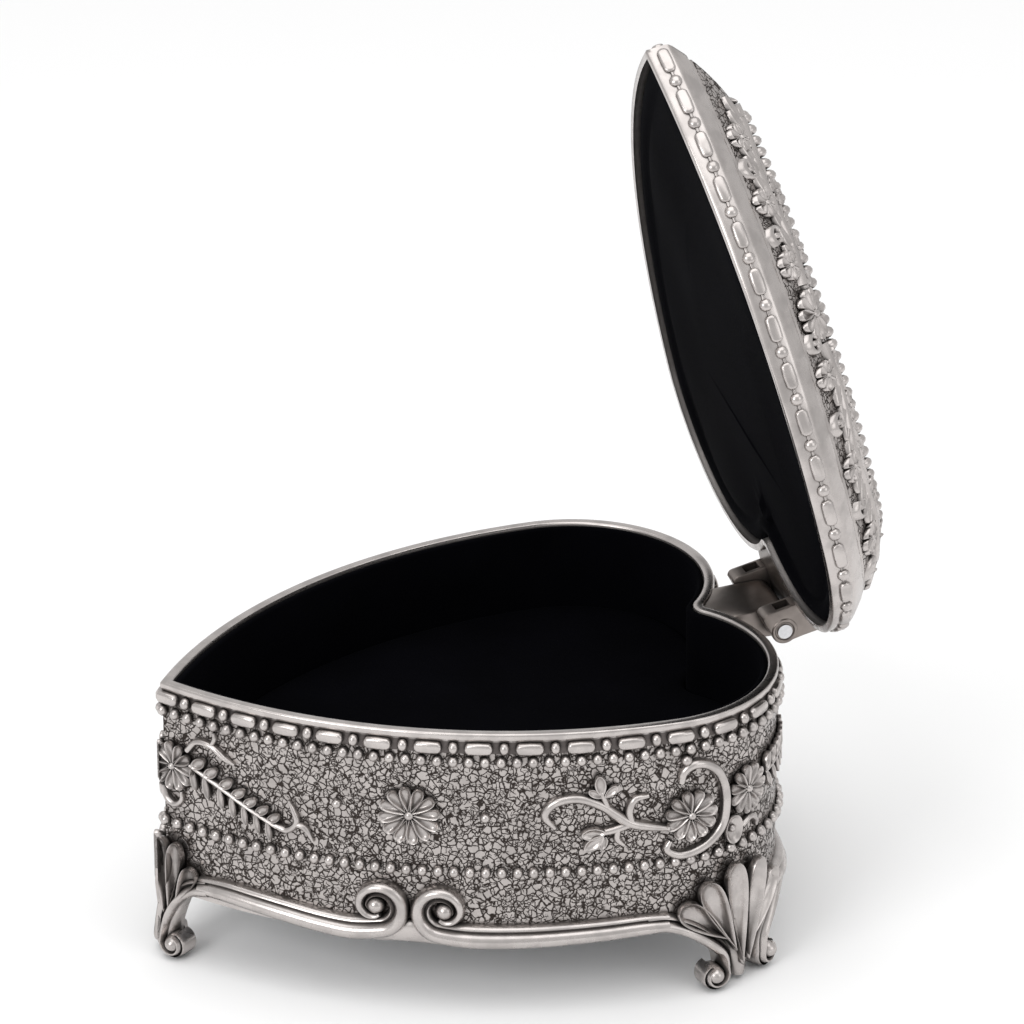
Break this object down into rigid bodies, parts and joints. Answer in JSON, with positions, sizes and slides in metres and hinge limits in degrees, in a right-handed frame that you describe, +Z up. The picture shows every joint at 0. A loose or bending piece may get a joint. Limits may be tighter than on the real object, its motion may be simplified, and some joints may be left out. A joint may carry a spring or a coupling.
{
  "type": "wind-up music box",
  "caption": "Heart-shaped cast metal music box on three scroll feet, with a hinged domed lid, velvet jewel compartment and key-wound movement.",
  "frame": {"origin": "middle of the box round the whole object with its lid open, on the table under its feet", "axes": "+Z up, -Y towards the tip of the heart, +Y towards the hinge, X across the two lobes"},
  "size_m": [0.0998, 0.1324, 0.1698],
  "materials": {
    "antique_silver": "die-cast zinc alloy, antique silver plated, dark patina in the recesses",
    "hinge_casting": "cast, darkened",
    "steel_sheet": "nickel plated sheet",
    "bright_steel": "turned and polished",
    "black_velvet": "short pile velvet",
    "card": "grey board",
    "movement_casting": "plain die-cast zinc",
    "brass": "turned brass",
    "white_nylon": "moulded nylon"
  },
  "bodies": {
    "root": {"case_wall": "antique_silver", "base_plate": "steel_sheet", "base_screws": "bright_steel", "foot_tip": "antique_silver", "foot_right": "antique_silver", "foot_left": "antique_silver", "front_moulding_right": "antique_silver", "front_moulding_left": "antique_silver", "rear_moulding_right": "antique_silver", "rear_moulding_left": "antique_silver", "wall_lining": "black_velvet", "floor_board": "card", "floor_pad": "black_velvet", "hinge_bracket": "hinge_casting", "hinge_pin": "bright_steel", "bedplate": "movement_casting", "movement_screws": "bright_steel", "bearing_post": "movement_casting", "comb": "bright_steel", "comb_bed": "movement_casting", "comb_screws": "bright_steel", "governor_frame": "movement_casting"},
    "lid": {"lid_shell": "antique_silver", "lid_hinge_yoke": "hinge_casting", "lid_pad": "black_velvet"},
    "key": {"winding_arbor": "bright_steel", "ratchet_wheel": "brass", "winding_key": "brass"},
    "click": {"click": "bright_steel"},
    "barrel": {"spring_barrel": "brass", "barrel_cap": "brass", "mainspring": "bright_steel"},
    "cylinder": {"music_cylinder": "brass", "cylinder_caps": "brass", "cylinder_pins": "bright_steel", "cylinder_shaft": "bright_steel", "cylinder_pinion": "brass", "cylinder_gear": "brass"},
    "governor_wheel": {"governor_shaft": "bright_steel", "governor_pinion": "brass", "worm_wheel": "brass"},
    "fan": {"worm_shaft": "bright_steel", "air_brake": "white_nylon"},
    "stop_lever": {"stop_lever": "bright_steel"}
  },
  "joints": [
    {"name": "lid_hinge", "type": "hinge", "parent": "root", "child": "lid", "pos_m": [0, 0.05364, 0.0536], "axis": [-1, 0, 0], "range_deg": [-76.9, 15]},
    {"name": "key_turn", "type": "hinge", "parent": "root", "child": "key", "pos_m": [-0.013, 0.00924, 0.01], "axis": [0, 0, 1], "continuous": true},
    {"name": "click_pivot", "type": "hinge", "parent": "root", "child": "click", "pos_m": [-0.0058, 0.00404, 0.017], "axis": [0, 0, 1], "range_deg": [0, 12], "stiffness_Nm_per_rad": 0.0003},
    {"name": "barrel_turn", "type": "hinge", "parent": "root", "child": "barrel", "pos_m": [-0.013, 0.00924, 0.02], "axis": [0, 0, 1], "continuous": true},
    {"name": "cylinder_turn", "type": "hinge", "parent": "root", "child": "cylinder", "pos_m": [0.008, 0.00924, 0.026], "axis": [1, 0, 0], "continuous": true},
    {"name": "governor_turn", "type": "hinge", "parent": "root", "child": "governor_wheel", "pos_m": [0.022, 0.00174, 0.026], "axis": [1, 0, 0], "continuous": true},
    {"name": "fan_turn", "type": "hinge", "parent": "root", "child": "fan", "pos_m": [0.0226, -0.00556, 0.026], "axis": [0, 0, 1], "continuous": true},
    {"name": "stop_slide", "type": "slide", "parent": "root", "child": "stop_lever", "axis": [-1, 0, 0], "range_m": [0, 0.003]}
  ],
  "couplings": [
    {"joint": "barrel_turn", "follows": "cylinder_turn", "ratio": 0.27778},
    {"joint": "governor_turn", "follows": "cylinder_turn", "ratio": -4},
    {"joint": "fan_turn", "follows": "cylinder_turn", "ratio": -120}
  ]
}
